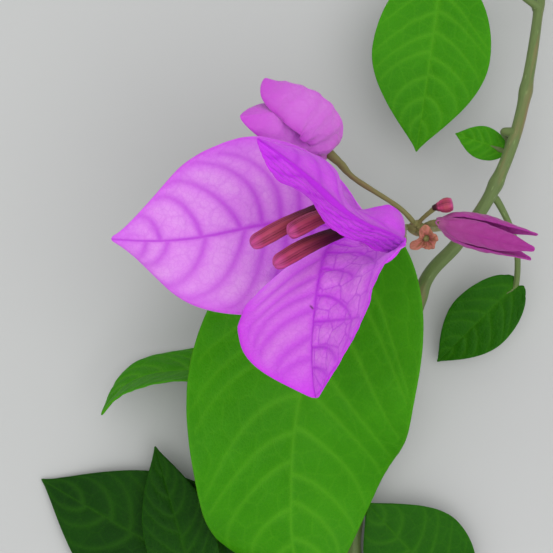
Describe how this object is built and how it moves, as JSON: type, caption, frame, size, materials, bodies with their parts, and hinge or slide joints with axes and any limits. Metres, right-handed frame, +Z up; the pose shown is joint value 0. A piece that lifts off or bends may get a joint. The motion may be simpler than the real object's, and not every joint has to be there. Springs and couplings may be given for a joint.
{
  "type": "cut flowering bougainvillea sprig",
  "caption": "Cut flowering bougainvillea sprig lying down: a curved stem with an open papery bloom, young closed blooms and broad leaves.",
  "frame": {"origin": "on the surface the sprig lies on, under the middle of its bounding box", "axes": "+Y along the stem from its cut end to its tip, +Z up from the surface, +X to the right of the stem seen from above"},
  "size_m": [0.094, 0.1501, 0.0717],
  "materials": {
    "bract": "thin papery bract with raised veins",
    "young_bract": "young papery bract",
    "flower_tube": "ribbed velvety flower tube",
    "withered": "dried flower",
    "leaf": "soft leaf, slightly glossy",
    "shaded_leaf": "older dark leaf",
    "green_stalk": "green stem bark"
  },
  "bodies": {
    "root": {"stem": "green_stalk", "flower_stalk_shared": "green_stalk", "leaf_large": "leaf", "leaf_upper": "leaf", "leaf_young": "leaf", "leaf_tip": "leaf", "leaf_right": "shaded_leaf", "leaf_left": "leaf", "leaf_lower_left": "shaded_leaf", "leaf_lower_middle": "shaded_leaf", "leaf_lower_right": "shaded_leaf", "open_bloom": "bract", "young_bloom": "young_bract", "side_bloom": "young_bract", "flower_tube_left": "flower_tube", "flower_tube_upper": "flower_tube", "flower_tube_lower": "flower_tube", "small_bud": "flower_tube", "withered_flower": "withered"}
  },
  "joints": []
}
